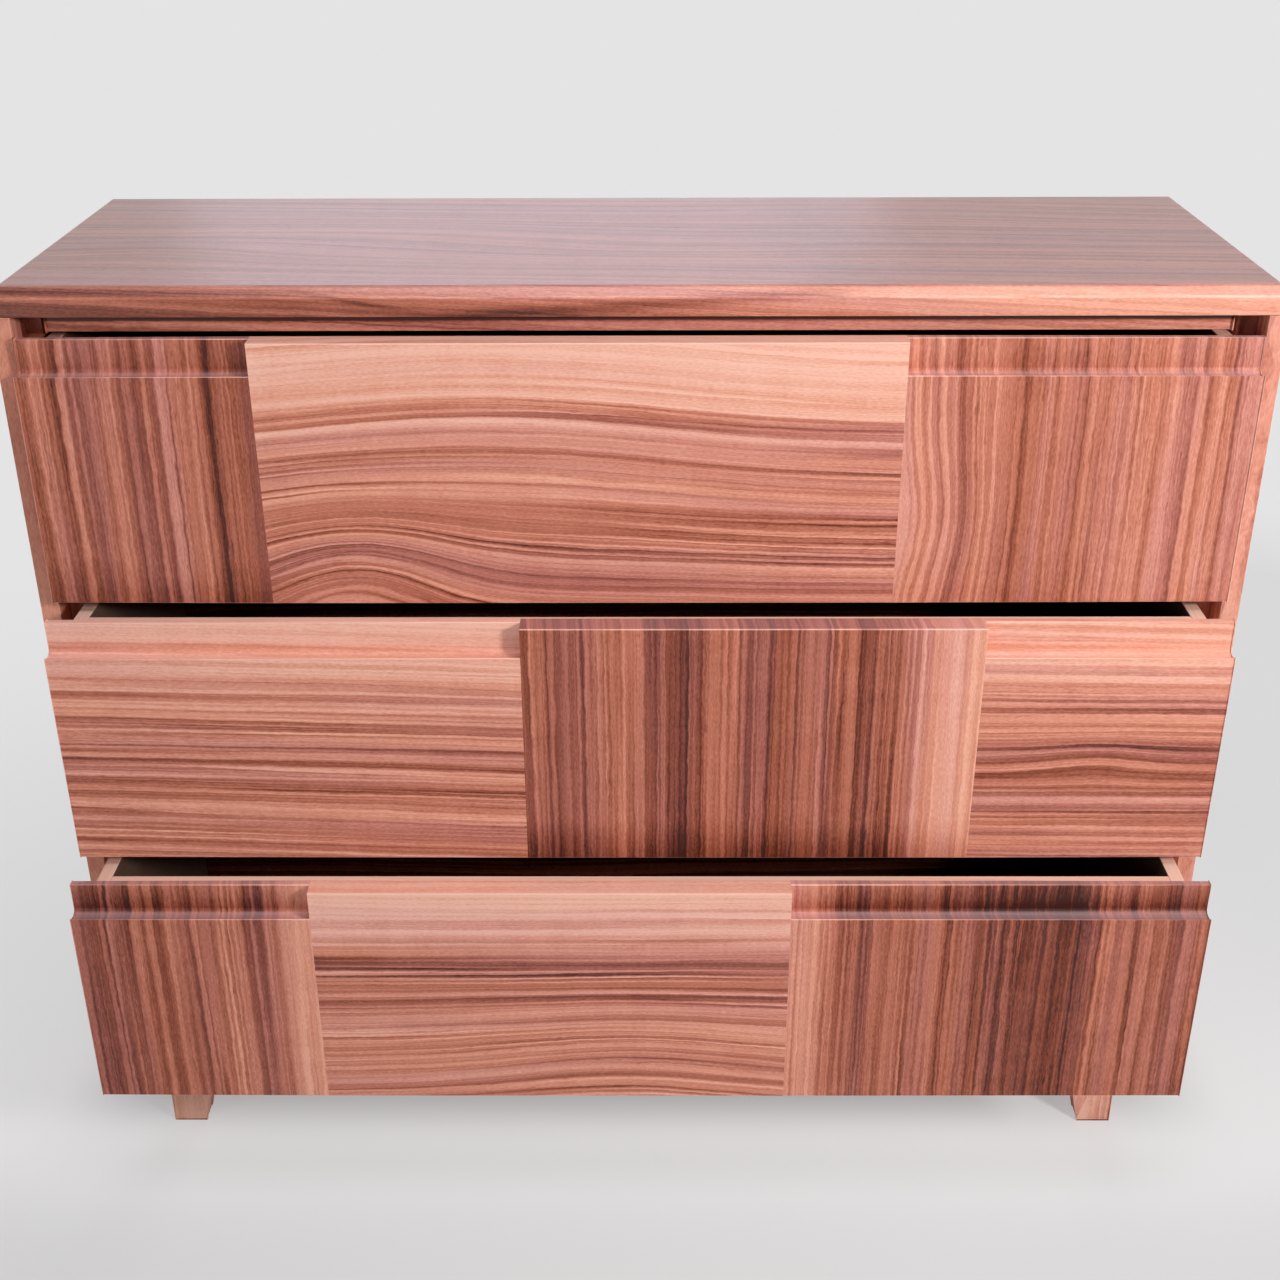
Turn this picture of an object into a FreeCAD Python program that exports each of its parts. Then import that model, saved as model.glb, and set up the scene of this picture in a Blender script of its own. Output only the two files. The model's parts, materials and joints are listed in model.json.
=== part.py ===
import FreeCAD, Part
import os
import re

import Sketcher

# Three-drawer hardwood dresser with finger-pull fronts, its drawers drawn out in steps.
# Frame: +Z up, the front faces -Y, +X to the viewer's right.  The origin is on the floor, in the middle
# of the width, halfway between the back and the face of the bottom drawer, which stands out furthest.
# Lengths are in millimetres.

# Driving dimensions: name, value, what it measures
SIZES = (
    ("width", 1220.0, "overall width over both side panels"),
    ("depth", 392.0, "carcass depth, front edge of the sides to the back"),
    ("top_thick", 28.0, "top panel"),
    ("top_bevel", 9.5, "bevel along the ends and the front of the top panel"),
    ("side_thick", 20.0, "side panel"),
    ("liner_thick", 19.5, "inner lining board that carries the runners"),
    ("liner_setback", 28.0, "front edge of the linings, behind the sides"),
    ("bottom_thick", 20.0, "bottom panel"),
    ("back_thick", 8.0, "back panel"),
    ("rail_height", 17.0, "rail under the top"),
    ("rail_depth", 60.0, "rail under the top, front to back"),
    ("rail_setback", 8.0, "front of the rail, behind the front edge of the top"),
    ("rail_end_gap", 9.0, "end of the rail to the lining"),
    ("foot_height", 160.0, "floor to the bottom panel"),
    ("foot_inset", 37.0, "outer faces of a foot, in from the side and from front or back"),
    ("foot_toe_width", 40.0, "foot at the floor"),
    ("foot_head_width", 75.0, "foot under the bottom panel"),
    ("foot_thick", 28.0, "foot, front to back"),
    ("tenon_width", 45.0, "tenon on a foot, along the width"),
    ("tenon_thick", 12.0, "tenon on a foot, front to back"),
    ("tenon_height", 14.0, "tenon on a foot, into the bottom panel"),
    ("front_height", 267.5, "drawer front"),
    ("front_thick", 25.0, "drawer front"),
    ("front_side_gap", 2.0, "drawer front to side panel"),
    ("front_gap", 6.0, "between two drawer fronts"),
    ("top_reveal", 18.5, "top drawer front to the underside of the top"),
    ("bottom_gap", 4.0, "bottom drawer front to the bottom panel"),
    ("open_1", 22.0, "top drawer, drawn out at rest"),
    ("open_2", 69.0, "middle drawer, drawn out at rest"),
    ("open_3", 125.0, "bottom drawer, drawn out at rest"),
    ("left_board_1", 222.0, "top drawer, board with the left finger pull"),
    ("right_board_1", 335.0, "top drawer, board with the right finger pull"),
    ("left_board_2", 471.0, "middle drawer, board with the left finger pull"),
    ("middle_board_2", 144.0, "middle drawer, first of its two plain boards"),
    ("right_board_2", 246.0, "middle drawer, board with the right finger pull"),
    ("left_board_3", 248.0, "bottom drawer, board with the left finger pull"),
    ("right_board_3", 432.0, "bottom drawer, board with the right finger pull"),
    ("pull_depth", 16.0, "finger pull, behind the face"),
    ("pull_height", 32.0, "finger pull, below the top of the front"),
    ("pull_groove", 2.5, "groove behind the lip, below the lip's top"),
    ("pull_lip", 2.0, "lip in front of the groove"),
    ("pull_cove", 6.0, "round between the back wall and the floor of the finger pull"),
    ("box_board", 15.0, "sides, front and back of a drawer box"),
    ("box_back_gap", 14.0, "drawer box to back panel, drawer shut"),
    ("box_side_gap", 5.0, "drawer box to lining"),
    ("box_top_drop", 5.5, "top of the box, below the top of the front"),
    ("box_bottom_rise", 18.0, "foot of the box, above the foot of the front"),
    ("floor_thick", 9.0, "floor of a drawer box"),
    ("floor_rise", 13.0, "underside of the floor, above the foot of the box"),
    ("floor_groove", 6.0, "groove that holds the floor"),
    ("runner_gap", 2.0, "box front to the front end of a closed runner"),
    ("runner_back_gap", 10.0, "back end of a closed runner to the back of the box"),
    ("gauge", 1.5, "steel sheet of the runners"),
    ("channel_width", 24.0, "outer channel of a runner"),
    ("channel_height", 13.0, "outer channel of a runner"),
    ("channel_lip", 3.0, "turned-in lip of a runner's channel"),
    ("running_gap", 0.4, "between two members of a runner"),
    ("carrier_gap", 1.5, "outer channel to the plate that carries the drawer"),
    ("channel_offset", 0.5, "box side to the outer channel, seen from the front"),
    ("leg_height", 20.0, "leg of the outer member on the lining"),
    ("runner_screw_radius", 1.8, "shank of a runner screw"),
    ("runner_screw_length", 13.0, "shank of a runner screw, into the lining"),
    ("runner_head_radius", 3.4, "head of a runner screw"),
    ("runner_head_thick", 1.6, "head of a runner screw"),
    ("runner_screw_rise", 12.0, "runner screw, above the foot of the outer member"),
    ("front_screw_radius", 2.0, "shank of a front screw"),
    ("front_screw_bite", 14.0, "shank of a front screw, into the drawer front"),
    ("front_head_radius", 4.2, "head of a front screw"),
    ("front_head_thick", 2.4, "head of a front screw"),
)

# Screw places, as shares of the length that they follow
RUNNER_SCREW_SHARES = (0.08, 0.5, 0.92)
FRONT_SCREW_SHARES = (0.3, 0.7)

# Two lengths closer than this are one length
SAME_LENGTH = 1e-4

DRAWERS = (1, 2, 3)
SIDES = (("left", -1), ("right", 1))

# Formulas of the places that several pieces share
FRONT_Y = "((open_3 - depth) / 2)"
BACK_Y = "((open_3 + depth) / 2)"
TOP_UNDERSIDE = ("(foot_height + bottom_thick + bottom_gap + 3 * front_height + 2 * front_gap"
                 " + top_reveal)")
BOTTOM_TOP = "(foot_height + bottom_thick)"
HALF_INSIDE = "(width / 2 - side_thick)"
HALF_LINED = "(width / 2 - side_thick - liner_thick)"
HALF_RAIL = "(width / 2 - side_thick - liner_thick - rail_end_gap)"
HALF_FRONT = "(width / 2 - side_thick - front_side_gap)"
HALF_BOX = "(width / 2 - side_thick - liner_thick - box_side_gap)"
BOX_HEIGHT = "(front_height - box_top_drop - box_bottom_rise)"
BOX_LENGTH = "(depth - back_thick - front_thick - box_back_gap)"
CHANNEL_U = "(box_side_gap + box_board + channel_offset)"
RUNNER_STACK = "(channel_height + carrier_gap + gauge)"
RUNNER_Y = f"({FRONT_Y} + front_thick + box_board + runner_gap)"
RUNNER_LENGTH = f"({BOX_LENGTH} - box_board - runner_gap - runner_back_gap)"

doc = FreeCAD.newDocument("Dresser")
sheet = doc.addObject("Spreadsheet::Sheet", "Sizes")
for row, (alias, value, meaning) in enumerate(SIZES, start=1):
    sheet.set(f"A{row}", meaning)
    sheet.set(f"B{row}", str(value))
    sheet.setAlias(f"B{row}", alias)
doc.recompute()

ALIAS = re.compile(r"\b(" + "|".join(alias for alias, value, meaning in SIZES) + r")\b")
nodes = []


def expand(formula):
    """Write the sheet's name before each size in a formula."""
    return ALIAS.sub(r"Sizes.\1", str(formula))


def number(formula):
    """Value of a formula, in millimetres."""
    return float(sheet.evalExpression(expand(formula)))


def bind(item, field, formula):
    """Tie one field of an object to a formula of the sheet's sizes."""
    item.setExpression(field, expand(formula))


def place(item, x, y, z):
    """Tie an object's place to three formulas."""
    for axis, formula in zip("xyz", (x, y, z)):
        bind(item, f"Placement.Base.{axis}", formula)


def keep(item, label):
    """Name a finished sub-part and list it for writing."""
    item.Label = label
    nodes.append(item)
    return item


def board(label, x, y, z, length, width, height):
    """Plain board: its low corner and its three sizes."""
    box = doc.addObject("Part::Box", label)
    bind(box, "Length", length)
    bind(box, "Width", width)
    bind(box, "Height", height)
    place(box, x, y, z)
    return keep(box, label)


def start_sketch(body, name, role, offset=None):
    """Empty sketch on one of the body's own planes, moved along the plane's normal."""
    sketch = body.newObject("Sketcher::SketchObject", name)
    plane = next(item for item in body.Origin.OriginFeatures if item.Role == role)
    sketch.AttachmentSupport = [(plane, "")]
    sketch.MapMode = "FlatFace"
    if offset is not None:
        bind(sketch, "AttachmentOffset.Base.z", offset)
    return sketch


def pin_point(sketch, geometry, position, formulas):
    """Fix one point of a sketch at two formulas, its distances from the sketch's origin."""
    for kind, axis, formula in zip(("DistanceX", "DistanceY"), (-2, -1), formulas):
        if number(formula) == 0.0:
            sketch.addConstraint(Sketcher.Constraint("PointOnObject", geometry, position, axis))
            continue
        rule = Sketcher.Constraint(kind, -1, 1, geometry, position, number(formula))
        index = sketch.addConstraint(rule)
        bind(sketch, f"Constraints[{index}]", formula)


def draw_outline(sketch, points):
    """Closed outline of straight lines through points given as pairs of formulas."""
    spots = [FreeCAD.Vector(number(u), number(v), 0) for u, v in points]
    count = len(points)
    lines = [Part.LineSegment(spots[i], spots[(i + 1) % count]) for i in range(count)]
    first = sketch.addGeometry(lines, False)[0]
    for i in range(count):
        following = first + (i + 1) % count
        sketch.addConstraint(Sketcher.Constraint("Coincident", first + i, 2, following, 1))
    for i, formulas in enumerate(points):
        pin_point(sketch, first + i, 1, formulas)


def draw_rectangle(sketch, u, v, across, up):
    """Rectangle with its low corner at (u, v)."""
    far = f"({u}) + ({across})"
    high = f"({v}) + ({up})"
    draw_outline(sketch, ((u, v), (far, v), (far, high), (u, high)))


def draw_circles(sketch, centres, radius):
    """Equal circles at centres given as pairs of formulas."""
    for u, v in centres:
        centre = FreeCAD.Vector(number(u), number(v), 0)
        circle = Part.Circle(centre, FreeCAD.Vector(0, 0, 1), number(radius))
        index = sketch.addGeometry(circle, False)
        rule = sketch.addConstraint(Sketcher.Constraint("Radius", index, number(radius)))
        bind(sketch, f"Constraints[{rule}]", radius)
        pin_point(sketch, index, 3, (u, v))


def pad(body, sketch, length, backwards=False):
    """Raise a sketch along its normal, or against it."""
    feature = body.newObject("PartDesign::Pad", "Pad")
    feature.Profile = sketch
    feature.Reversed = backwards
    bind(feature, "Length", length)
    doc.recompute()
    return feature


def pocket(body, sketch, depth, along_normal):
    """Cut a sketch into the body along its normal, or against it."""
    before = body.Shape.Volume
    feature = body.newObject("PartDesign::Pocket", "Pocket")
    feature.Profile = sketch
    feature.Reversed = along_normal
    bind(feature, "Length", depth)
    doc.recompute()
    if body.Shape.Volume >= before:
        raise ValueError(f"{body.Label}: a cut took nothing away")
    return feature


def edge_feature(body, kind, wanted):
    """Fillet or chamfer on the edges of the body's last feature that a test picks."""
    tip = body.Tip
    names = [f"Edge{i}" for i, edge in enumerate(tip.Shape.Edges, start=1) if wanted(edge)]
    feature = body.newObject(f"PartDesign::{kind}", kind)
    feature.Base = (tip, names)
    return feature


def round_edges(body, radius, wanted):
    """Round some edges of a body."""
    bind(edge_feature(body, "Fillet", wanted), "Radius", radius)
    doc.recompute()


def bevel_edges(body, size, wanted):
    """Bevel some edges of a body."""
    bind(edge_feature(body, "Chamfer", wanted), "Size", size)
    doc.recompute()


def near(a, b):
    """True where two lengths are the same."""
    return abs(a - b) < SAME_LENGTH


def new_body(label):
    """Empty body, listed as a sub-part."""
    return keep(doc.addObject("PartDesign::Body", label), label)


def prism_along_y(label, points, length):
    """Bar with its outline in width and height, running from the body's origin to the back."""
    body = new_body(label)
    sketch = start_sketch(body, "Section", "XZ_Plane")
    draw_outline(sketch, points)
    pad(body, sketch, length, backwards=True)
    return body


def prism_along_x(label, points, length):
    """Bar with its outline in depth and height, running from the body's origin to the right."""
    body = new_body(label)
    sketch = start_sketch(body, "Section", "YZ_Plane")
    draw_outline(sketch, points)
    pad(body, sketch, length)
    return body


def front_bottom_z(drawer):
    """Foot of a drawer's front."""
    return f"({BOTTOM_TOP} + bottom_gap + {3 - drawer} * (front_height + front_gap))"


def box_bottom_z(drawer):
    """Foot of a drawer's box."""
    return f"({front_bottom_z(drawer)} + box_bottom_rise)"


def runner_bottom_z(drawer):
    """Foot of a drawer's runners."""
    return f"({box_bottom_z(drawer)} + floor_rise - {RUNNER_STACK})"


def make_top():
    """Top panel with bevelled ends and a bevelled front edge."""
    body = new_body("top_panel")
    sketch = start_sketch(body, "Section", "XZ_Plane")
    draw_rectangle(sketch, "-width / 2", "0", "width", "top_thick")
    pad(body, sketch, "depth", backwards=True)
    high = number("top_thick")
    back = number("depth")

    def is_shown_edge(edge):
        box = edge.BoundBox
        return near(box.ZMin, high) and not near(box.YMin, back)

    bevel_edges(body, "top_bevel", is_shown_edge)
    place(body, "0", FRONT_Y, TOP_UNDERSIDE)


def make_carcass():
    """Sides, linings, bottom, back and the rail under the top."""
    for side, sign in SIDES:
        outer_x = "-width / 2" if sign < 0 else HALF_INSIDE
        board(f"side_panel_{side}", outer_x, FRONT_Y, "foot_height",
              "side_thick", "depth", f"{TOP_UNDERSIDE} - foot_height")
        make_liner(side, sign)
    make_bottom()
    board("back_panel", f"-{HALF_INSIDE}", f"{BACK_Y} - back_thick", "foot_height",
          f"2 * {HALF_INSIDE}", "back_thick", f"{TOP_UNDERSIDE} - foot_height")
    board("top_rail", f"-{HALF_RAIL}", f"{FRONT_Y} + rail_setback", f"{TOP_UNDERSIDE} - rail_height",
          f"2 * {HALF_RAIL}", "rail_depth", "rail_height")


def runner_screw_places():
    """Distances of the runner screws from the runner's front end."""
    return [f"({share} * {RUNNER_LENGTH})" for share in RUNNER_SCREW_SHARES]


def make_liner(side, sign):
    """Lining board inside a side panel, bored for the runner screws."""
    body = new_body(f"liner_{side}")
    sketch = start_sketch(body, "Face", "YZ_Plane")
    height = f"({TOP_UNDERSIDE} - {BOTTOM_TOP})"
    draw_rectangle(sketch, "0", "0", "depth - liner_setback - back_thick", height)
    pad(body, sketch, "liner_thick")
    centres = []
    for drawer in DRAWERS:
        for along in runner_screw_places():
            y = f"{along} + {RUNNER_Y} - {FRONT_Y} - liner_setback"
            z = f"{runner_bottom_z(drawer)} + runner_screw_rise - {BOTTOM_TOP}"
            centres.append((y, z))
    bores = start_sketch(body, "Bores", "YZ_Plane", "liner_thick" if sign < 0 else None)
    draw_circles(bores, centres, "runner_screw_radius")
    pocket(body, bores, "runner_screw_length", along_normal=sign > 0)
    low_x = f"-{HALF_INSIDE}" if sign < 0 else HALF_LINED
    place(body, low_x, f"{FRONT_Y} + liner_setback", BOTTOM_TOP)


def foot_places():
    """Name of each foot, its outer corner in width, its way inwards and its front face."""
    rows = (("front", f"({FRONT_Y} + foot_inset)"), ("back", f"({BACK_Y} - foot_inset - foot_thick)"))
    for row_name, y in rows:
        for side, sign in SIDES:
            yield f"foot_{row_name}_{side}", f"({sign} * (width / 2 - foot_inset))", -sign, y


def make_bottom():
    """Bottom panel with a blind mortise for each foot."""
    body = new_body("bottom_panel")
    sketch = start_sketch(body, "Face", "XY_Plane")
    draw_rectangle(sketch, f"-{HALF_INSIDE}", "0", f"2 * {HALF_INSIDE}", "depth - back_thick")
    pad(body, sketch, "bottom_thick")
    mortises = start_sketch(body, "Mortises", "XY_Plane")
    for name, outer_x, inward, y in foot_places():
        middle_x = f"({outer_x} + {inward} * foot_head_width / 2)"
        low_y = f"({y} - {FRONT_Y} + (foot_thick - tenon_thick) / 2)"
        draw_rectangle(mortises, f"{middle_x} - tenon_width / 2", low_y, "tenon_width", "tenon_thick")
    pocket(body, mortises, "tenon_height", along_normal=True)
    place(body, "0", FRONT_Y, "foot_height")


def make_feet():
    """Four feet, upright on the outside and tapered on the inside, each with a tenon."""
    for name, outer_x, inward, y in foot_places():
        points = (
            ("0", "0"),
            (f"{inward} * foot_toe_width", "0"),
            (f"{inward} * foot_head_width", "foot_height"),
            ("0", "foot_height"),
        )
        body = prism_along_y(name, points, "foot_thick")
        tenon = start_sketch(body, "Tenon", "XZ_Plane", "-(foot_thick - tenon_thick) / 2")
        low_x = f"({inward} * foot_head_width / 2 - tenon_width / 2)"
        draw_rectangle(tenon, low_x, "foot_height", "tenon_width", "tenon_height")
        pad(body, tenon, "tenon_thick", backwards=True)
        place(body, outer_x, y, "0")


def front_boards(drawer):
    """Boards of a drawer's front, left to right: name, left edge, length and whether it has a pull."""
    left = f"left_board_{drawer}"
    right = f"right_board_{drawer}"
    centre_x = f"(-{HALF_FRONT} + {left})"
    centre_length = f"(2 * {HALF_FRONT} - {left} - {right})"
    boards = [("left", f"(-{HALF_FRONT})", left, True)]
    if drawer == 2:
        second_x = f"({centre_x} + middle_board_2)"
        boards.append(("center_a", centre_x, "middle_board_2", False))
        boards.append(("center_b", second_x, f"({centre_length} - middle_board_2)", False))
    else:
        boards.append(("center", centre_x, centre_length, False))
    boards.append(("right", f"({HALF_FRONT} - {right})", right, True))
    return boards


def front_screw_rows():
    """Heights of the front screws above the foot of the drawer front."""
    return [f"(box_bottom_rise + {share} * {BOX_HEIGHT})" for share in FRONT_SCREW_SHARES]


def make_front(drawer, y):
    """Applied drawer front of several boards, two of them with a finger pull along the top."""
    plain = (("0", "0"), ("front_thick", "0"), ("front_thick", "front_height"), ("0", "front_height"))
    lip_top = "front_height - pull_height"
    groove_floor = "front_height - pull_height - pull_groove"
    pulled = (
        ("0", "0"),
        ("front_thick", "0"),
        ("front_thick", "front_height"),
        ("pull_depth", "front_height"),
        ("pull_depth", groove_floor),
        ("pull_lip", groove_floor),
        ("pull_lip", lip_top),
        ("0", lip_top),
    )

    def is_cove_edge(edge):
        box = edge.BoundBox
        at_wall = near(box.YMin, number("pull_depth")) and near(box.YMax, number("pull_depth"))
        return at_wall and near(box.ZMin, number(groove_floor)) and near(box.ZMax, box.ZMin)

    for name, x, length, has_pull in front_boards(drawer):
        body = prism_along_x(f"drawer_{drawer}_front_{name}", pulled if has_pull else plain, length)
        if has_pull:
            round_edges(body, "pull_cove", is_cove_edge)
        bores = start_sketch(body, "Bores", "XZ_Plane", "-front_thick")
        centres = [(f"{length} / 2", rise) for rise in front_screw_rows()]
        draw_circles(bores, centres, "front_screw_radius")
        pocket(body, bores, "front_screw_bite", along_normal=True)
        place(body, x, y, front_bottom_z(drawer))


def make_box(drawer, y):
    """Drawer box: two grooved sides, grooved front, back standing on the floor, floor in its grooves."""
    low_z = box_bottom_z(drawer)
    box_y = f"({y} + front_thick)"
    groove_top = "floor_rise + floor_thick"
    for side, sign in SIDES:
        inner = f"{-sign} * box_board"
        groove_end = f"{-sign} * (box_board - floor_groove)"
        points = (
            ("0", "0"),
            (inner, "0"),
            (inner, "floor_rise"),
            (groove_end, "floor_rise"),
            (groove_end, groove_top),
            (inner, groove_top),
            (inner, BOX_HEIGHT),
            ("0", BOX_HEIGHT),
        )
        body = prism_along_y(f"drawer_{drawer}_box_{side}", points, BOX_LENGTH)
        place(body, f"{sign} * {HALF_BOX}", box_y, low_z)

    inside = f"(2 * ({HALF_BOX} - box_board))"
    points = (
        ("0", "0"),
        ("box_board", "0"),
        ("box_board", "floor_rise"),
        ("box_board - floor_groove", "floor_rise"),
        ("box_board - floor_groove", groove_top),
        ("box_board", groove_top),
        ("box_board", BOX_HEIGHT),
        ("0", BOX_HEIGHT),
    )
    body = prism_along_x(f"drawer_{drawer}_box_front", points, inside)
    bores = start_sketch(body, "Bores", "XZ_Plane")
    draw_circles(bores, box_front_centres(drawer), "front_screw_radius")
    pocket(body, bores, "box_board", along_normal=False)
    place(body, f"-{inside} / 2", box_y, low_z)

    board(f"drawer_{drawer}_box_back", f"-{inside} / 2", f"{box_y} + {BOX_LENGTH} - box_board",
          f"{low_z} + {groove_top}", inside, "box_board", f"{BOX_HEIGHT} - ({groove_top})")
    board(f"drawer_{drawer}_box_floor", f"-({inside} / 2 + floor_groove)",
          f"{box_y} + box_board - floor_groove", f"{low_z} + floor_rise",
          f"{inside} + 2 * floor_groove", f"{BOX_LENGTH} - box_board + floor_groove", "floor_thick")


def board_middle(x, length):
    """Middle of a front board in the width."""
    return f"({x} + {length} / 2)"


def box_front_centres(drawer):
    """Front screws in the box front's own frame, whose origin is its low left corner."""
    centres = []
    for name, x, length, has_pull in front_boards(drawer):
        for rise in front_screw_rows():
            u = f"{board_middle(x, length)} + {HALF_BOX} - box_board"
            centres.append((u, f"{rise} - box_bottom_rise"))
    return centres


def screw(name, head, shank, x, y, z, direction):
    """Pan-head screw: the underside of its head is at (x, y, z), and the shank points along direction."""
    head_radius, head_thick = head
    shank_radius, shank_length = shank
    turn = FreeCAD.Rotation(FreeCAD.Vector(0, 0, 1), direction)
    parts = []
    for part, radius, length in (("head", head_radius, head_thick), ("shank", shank_radius, shank_length)):
        cylinder = doc.addObject("Part::Cylinder", f"{name}_{part}")
        bind(cylinder, "Radius", radius)
        bind(cylinder, "Height", length)
        cylinder.Placement = FreeCAD.Placement(FreeCAD.Vector(0, 0, 0), turn)
        parts.append(cylinder)
    shift = [f"{int(-part)} * {head_thick}" for part in direction]
    place(parts[0], *(f"({spot}) + ({back})" for spot, back in zip((x, y, z), shift)))
    place(parts[1], x, y, z)
    whole = doc.addObject("Part::Fuse", name)
    whole.Base = parts[0]
    whole.Tool = parts[1]
    return whole


def make_front_screws(drawer, y):
    """Screws from inside the box front into each board of the drawer front."""
    forward = FreeCAD.Vector(0, -1, 0)
    head_y = f"({y} + front_thick + box_board)"
    group = []
    for name, x, length, has_pull in front_boards(drawer):
        for row_number, rise in enumerate(front_screw_rows(), start=1):
            group.append(screw(
                f"front_screw_{drawer}_{name}_{row_number}",
                ("front_head_radius", "front_head_thick"),
                ("front_screw_radius", "(box_board + front_screw_bite)"),
                board_middle(x, length), head_y, f"{front_bottom_z(drawer)} + {rise}", forward))
    compound = doc.addObject("Part::Compound", f"drawer_{drawer}_front_screws")
    compound.Links = group
    keep(compound, f"drawer_{drawer}_front_screws")


def runner_outlines():
    """Sections of the three members of a runner: distance from the lining, height above its foot."""
    low = CHANNEL_U
    high = f"({CHANNEL_U} + channel_width)"
    top = "channel_height"
    outer = (
        ("0", "0"),
        (high, "0"),
        (high, top),
        (f"{high} - gauge - channel_lip", top),
        (f"{high} - gauge - channel_lip", f"{top} - gauge"),
        (f"{high} - gauge", f"{top} - gauge"),
        (f"{high} - gauge", "gauge"),
        (f"{low} + gauge", "gauge"),
        (f"{low} + gauge", f"{top} - gauge"),
        (f"{low} + gauge + channel_lip", f"{top} - gauge"),
        (f"{low} + gauge + channel_lip", top),
        (low, top),
        (low, "gauge"),
        ("gauge", "gauge"),
        ("gauge", "leg_height"),
        ("0", "leg_height"),
    )
    step = "(gauge + running_gap)"
    low_m = f"({low} + {step})"
    high_m = f"({high} - {step})"
    foot_m = step
    top_m = f"({top} - {step})"
    middle = (
        (low_m, foot_m),
        (high_m, foot_m),
        (high_m, top_m),
        (f"{high_m} - gauge - channel_lip", top_m),
        (f"{high_m} - gauge - channel_lip", f"{top_m} - gauge"),
        (f"{high_m} - gauge", f"{top_m} - gauge"),
        (f"{high_m} - gauge", f"{foot_m} + gauge"),
        (f"{low_m} + gauge", f"{foot_m} + gauge"),
        (f"{low_m} + gauge", f"{top_m} - gauge"),
        (f"{low_m} + gauge + channel_lip", f"{top_m} - gauge"),
        (f"{low_m} + gauge + channel_lip", top_m),
        (low_m, top_m),
    )
    low_d = f"({low_m} + {step})"
    high_d = f"({high_m} - {step})"
    low_s = f"({low_d} + channel_lip)"
    high_s = f"({high_d} - channel_lip)"
    foot_d = f"({foot_m} + {step})"
    plate = f"({RUNNER_STACK} - gauge)"
    inner = (
        (low_d, foot_d),
        (f"{low_s} + gauge", foot_d),
        (f"{low_s} + gauge", plate),
        (f"{high_s} - gauge", plate),
        (f"{high_s} - gauge", foot_d),
        (high_d, foot_d),
        (high_d, f"{foot_d} + gauge"),
        (high_s, f"{foot_d} + gauge"),
        (high_s, plate),
        (high, plate),
        (high, RUNNER_STACK),
        (low, RUNNER_STACK),
        (low, plate),
        (low_s, plate),
        (low_s, f"{foot_d} + gauge"),
        (low_d, f"{foot_d} + gauge"),
    )
    return outer, middle, inner


def make_runners(drawer, opened):
    """Three-member runners under both sides of a drawer box."""
    members = ("outer", "middle", "inner")
    drawn = ("0", f"{opened} / 2", opened)
    for side, sign in SIDES:
        for member, outline, shift in zip(members, runner_outlines(), drawn):
            points = [(f"{-sign} * ({u})", v) for u, v in outline]
            body = prism_along_y(f"runner_{drawer}_{member}_{side}", points, RUNNER_LENGTH)
            if member == "outer":
                bore_leg(body, sign)
            place(body, f"{sign} * {HALF_LINED}", f"{RUNNER_Y} - {shift}", runner_bottom_z(drawer))


def bore_leg(body, sign):
    """Screw holes through the leg that stands on the lining."""
    bores = start_sketch(body, "Bores", "YZ_Plane")
    centres = [(along, "runner_screw_rise") for along in runner_screw_places()]
    draw_circles(bores, centres, "runner_screw_radius")
    pocket(body, bores, "gauge", along_normal=sign < 0)


def make_runner_screws():
    """Screws that hold every outer member on its lining."""
    group = []
    for drawer in DRAWERS:
        for side, sign in SIDES:
            outward = FreeCAD.Vector(sign, 0, 0)
            for spot, along in enumerate(runner_screw_places(), start=1):
                group.append(screw(
                    f"runner_screw_{drawer}_{side}_{spot}",
                    ("runner_head_radius", "runner_head_thick"),
                    ("runner_screw_radius", "(gauge + runner_screw_length)"),
                    f"{sign} * ({HALF_LINED} - gauge)", f"{RUNNER_Y} + {along}",
                    f"{runner_bottom_z(drawer)} + runner_screw_rise", outward))
    compound = doc.addObject("Part::Compound", "runner_screws")
    compound.Links = group
    keep(compound, "runner_screws")


def make_drawer(drawer):
    """One drawer with its runners, drawn out as far as at rest."""
    opened = f"open_{drawer}"
    y = f"({FRONT_Y} - {opened})"
    make_front(drawer, y)
    make_box(drawer, y)
    make_front_screws(drawer, y)
    make_runners(drawer, opened)


def write_steps():
    """Check every object, then write one file for each sub-part."""
    doc.recompute()
    for item in doc.Objects:
        if "Invalid" in item.State or "Error" in item.State:
            raise ValueError(f"{item.Label} did not rebuild: {item.State}")
    for item in nodes:
        if item.Shape.isNull() or not item.Shape.isValid():
            raise ValueError(f"{item.Label} has no valid shape")
    os.makedirs("parts", exist_ok=True)
    for item in nodes:
        item.Shape.exportStep(f"parts/{item.Label}.step")
    print(len(nodes), "sub-parts written")


make_top()
make_carcass()
make_feet()
for drawer_number in DRAWERS:
    make_drawer(drawer_number)
make_runner_screws()
write_steps()
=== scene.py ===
import json
import math

import bmesh
import bpy
from mathutils import Matrix, Vector

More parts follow.
